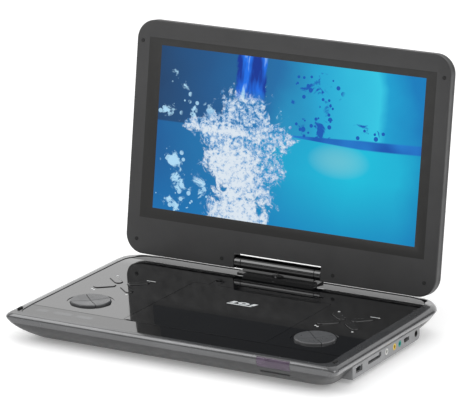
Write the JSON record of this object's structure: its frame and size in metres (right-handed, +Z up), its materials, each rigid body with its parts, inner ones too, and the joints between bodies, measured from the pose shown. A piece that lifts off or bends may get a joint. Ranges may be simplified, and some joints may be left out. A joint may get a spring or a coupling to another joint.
{
  "type": "portable dvd player",
  "caption": "Clamshell disc player with a tilting, swivelling wide screen over a gloss deck with a lift-up disc door, round pads, petal keys and side ports.",
  "frame": {"origin": "on the table surface, at the middle of the bounding box of the raised player", "axes": "+X to the right of the user, +Y away from the user, +Z up"},
  "size_m": [0.3608, 0.2676, 0.2713],
  "materials": {
    "hull_grey": "satin charcoal moulding",
    "rim_grey": "satin gunmetal moulding",
    "deck_black": "piano black",
    "door_black": "piano black",
    "port_grey": "satin mid grey",
    "bezel": "satin charcoal with a black surround",
    "back_black": "fine textured black",
    "lcd_glass": "picture surface under an anti-glare film",
    "tray_metal": "light reflector tray",
    "key_black": "gloss black keys",
    "pad_grey": "satin dark grey keys",
    "rubber_black": "matt rubber",
    "membrane": "silicone",
    "steel": "ground steel",
    "screw_steel": "blackened steel",
    "hinge_black": "gloss black",
    "bearing_metal": "sintered bronze",
    "board_green": "solder mask",
    "chassis_black": "fine grain",
    "hub_black": "satin",
    "motor_metal": "zinc plated",
    "sled_metal": "filled nylon",
    "cell_wrap": "shrink wrap",
    "speaker_paper": "doped cone in a steel basket",
    "window_purple": "dark purple filter",
    "sensor": "dark epoxy",
    "usb_metal": "nickel plated",
    "card_metal": "nickel plated",
    "jack_white": "satin",
    "jack_yellow": "satin",
    "jack_green": "satin",
    "dc_black": "satin",
    "switch_black": "satin"
  },
  "bodies": {
    "base": {"lower_case": "hull_grey", "battery_cover": "hull_grey", "upper_case": "rim_grey", "deck_cover": "deck_black", "port_panel": "port_grey", "rubber_feet": "rubber_black", "case_screws": "screw_steel", "rest_pads": "rubber_black", "ir_window": "window_purple", "ir_receiver": "sensor", "door_pins": "steel", "key_membranes": "membrane", "key_boards": "board_green", "drive_chassis": "chassis_black", "drive_dampers": "rubber_black", "sled_rails": "steel", "spindle_motor": "motor_metal", "sled_motor": "motor_metal", "main_board": "board_green", "battery_cells": "cell_wrap", "speakers": "speaker_paper", "usb_socket": "usb_metal", "card_socket": "card_metal", "av_in_jack": "jack_white", "av_out_jack": "jack_yellow", "headphone_jack": "jack_green", "dc_socket": "dc_black", "switch_body": "switch_black", "swivel_bearing": "bearing_metal"},
    "disc_door": {"disc_door": "door_black"},
    "spindle": {"spindle_hub": "hub_black"},
    "sled": {"laser_sled": "sled_metal"},
    "lead_screw": {"lead_screw": "steel"},
    "power_slider": {"power_slider": "switch_black"},
    "swivel": {"swivel_neck": "hinge_black"},
    "screen": {"screen_front": "bezel", "screen_back": "back_black", "lcd_panel": "lcd_glass", "lcd_backlight": "tray_metal", "screen_board": "board_green", "screen_caps": "rubber_black", "tilt_brackets": "steel", "barrel_caps": "hinge_black", "tilt_shaft": "steel"},
    "key_left_1": {"key_left_1": "key_black"},
    "key_left_2": {"key_left_2": "key_black"},
    "key_left_3": {"key_left_3": "key_black"},
    "key_left_4": {"key_left_4": "key_black"},
    "key_right_1": {"key_right_1": "key_black"},
    "key_right_2": {"key_right_2": "key_black"},
    "key_right_3": {"key_right_3": "key_black"},
    "key_right_4": {"key_right_4": "key_black"},
    "pad_left_front": {"pad_left_front": "pad_grey"},
    "pad_left_right": {"pad_left_right": "pad_grey"},
    "pad_left_back": {"pad_left_back": "pad_grey"},
    "pad_left_left": {"pad_left_left": "pad_grey"},
    "pad_right_front": {"pad_right_front": "pad_grey"},
    "pad_right_right": {"pad_right_right": "pad_grey"},
    "pad_right_back": {"pad_right_back": "pad_grey"},
    "pad_right_left": {"pad_right_left": "pad_grey"}
  },
  "joints": [
    {"name": "screen_swivel", "type": "hinge", "parent": "base", "child": "swivel", "pos_m": [0, 0.09736, 0.03], "axis": [0, 0, 1], "range_deg": [-180, 0]},
    {"name": "screen_tilt", "type": "hinge", "parent": "swivel", "child": "screen", "pos_m": [0, 0.09736, 0.0394], "axis": [-1, 0, 0], "range_deg": [-97.33, 82.67]},
    {"name": "disc_door_hinge", "type": "hinge", "parent": "base", "child": "disc_door", "pos_m": [0.0105, 0.05286, 0.0265], "axis": [-1, 0, 0], "range_deg": [0, 65]},
    {"name": "disc_spin", "type": "hinge", "parent": "base", "child": "spindle", "pos_m": [0.0105, -0.02914, 0.018], "axis": [0, 0, 1], "continuous": true},
    {"name": "laser_travel", "type": "slide", "parent": "base", "child": "sled", "axis": [0, -1, 0], "range_m": [0, 0.03]},
    {"name": "lead_screw_turn", "type": "hinge", "parent": "base", "child": "lead_screw", "pos_m": [0.0305, -0.02914, 0.0115], "axis": [0, 1, 0], "range_deg": [0, 3605]},
    {"name": "power_switch", "type": "slide", "parent": "base", "child": "power_slider", "axis": [0, 1, 0], "range_m": [0, 0.004]},
    {"name": "key_left_1_press", "type": "slide", "parent": "base", "child": "key_left_1", "axis": [0, 0, -1], "range_m": [0, 0.0007], "stiffness_N_per_m": 300, "springref_m": -0.0006},
    {"name": "key_left_2_press", "type": "slide", "parent": "base", "child": "key_left_2", "axis": [0, 0, -1], "range_m": [0, 0.0007], "stiffness_N_per_m": 300, "springref_m": -0.0006},
    {"name": "key_left_3_press", "type": "slide", "parent": "base", "child": "key_left_3", "axis": [0, 0, -1], "range_m": [0, 0.0007], "stiffness_N_per_m": 300, "springref_m": -0.0006},
    {"name": "key_left_4_press", "type": "slide", "parent": "base", "child": "key_left_4", "axis": [0, 0, -1], "range_m": [0, 0.0007], "stiffness_N_per_m": 300, "springref_m": -0.0006},
    {"name": "key_right_1_press", "type": "slide", "parent": "base", "child": "key_right_1", "axis": [0, 0, -1], "range_m": [0, 0.0007], "stiffness_N_per_m": 300, "springref_m": -0.0006},
    {"name": "key_right_2_press", "type": "slide", "parent": "base", "child": "key_right_2", "axis": [0, 0, -1], "range_m": [0, 0.0007], "stiffness_N_per_m": 300, "springref_m": -0.0006},
    {"name": "key_right_3_press", "type": "slide", "parent": "base", "child": "key_right_3", "axis": [0, 0, -1], "range_m": [0, 0.0007], "stiffness_N_per_m": 300, "springref_m": -0.0006},
    {"name": "key_right_4_press", "type": "slide", "parent": "base", "child": "key_right_4", "axis": [0, 0, -1], "range_m": [0, 0.0007], "stiffness_N_per_m": 300, "springref_m": -0.0006},
    {"name": "pad_left_front_press", "type": "slide", "parent": "base", "child": "pad_left_front", "axis": [0, 0, -1], "range_m": [0, 0.0006], "stiffness_N_per_m": 300, "springref_m": -0.0006},
    {"name": "pad_left_right_press", "type": "slide", "parent": "base", "child": "pad_left_right", "axis": [0, 0, -1], "range_m": [0, 0.0006], "stiffness_N_per_m": 300, "springref_m": -0.0006},
    {"name": "pad_left_back_press", "type": "slide", "parent": "base", "child": "pad_left_back", "axis": [0, 0, -1], "range_m": [0, 0.0006], "stiffness_N_per_m": 300, "springref_m": -0.0006},
    {"name": "pad_left_left_press", "type": "slide", "parent": "base", "child": "pad_left_left", "axis": [0, 0, -1], "range_m": [0, 0.0006], "stiffness_N_per_m": 300, "springref_m": -0.0006},
    {"name": "pad_right_front_press", "type": "slide", "parent": "base", "child": "pad_right_front", "axis": [0, 0, -1], "range_m": [0, 0.0006], "stiffness_N_per_m": 300, "springref_m": -0.0006},
    {"name": "pad_right_right_press", "type": "slide", "parent": "base", "child": "pad_right_right", "axis": [0, 0, -1], "range_m": [0, 0.0006], "stiffness_N_per_m": 300, "springref_m": -0.0006},
    {"name": "pad_right_back_press", "type": "slide", "parent": "base", "child": "pad_right_back", "axis": [0, 0, -1], "range_m": [0, 0.0006], "stiffness_N_per_m": 300, "springref_m": -0.0006},
    {"name": "pad_right_left_press", "type": "slide", "parent": "base", "child": "pad_right_left", "axis": [0, 0, -1], "range_m": [0, 0.0006], "stiffness_N_per_m": 300, "springref_m": -0.0006}
  ],
  "couplings": [
    {"joint": "lead_screw_turn", "follows": "laser_travel", "rad_per_m": 2094.4}
  ]
}
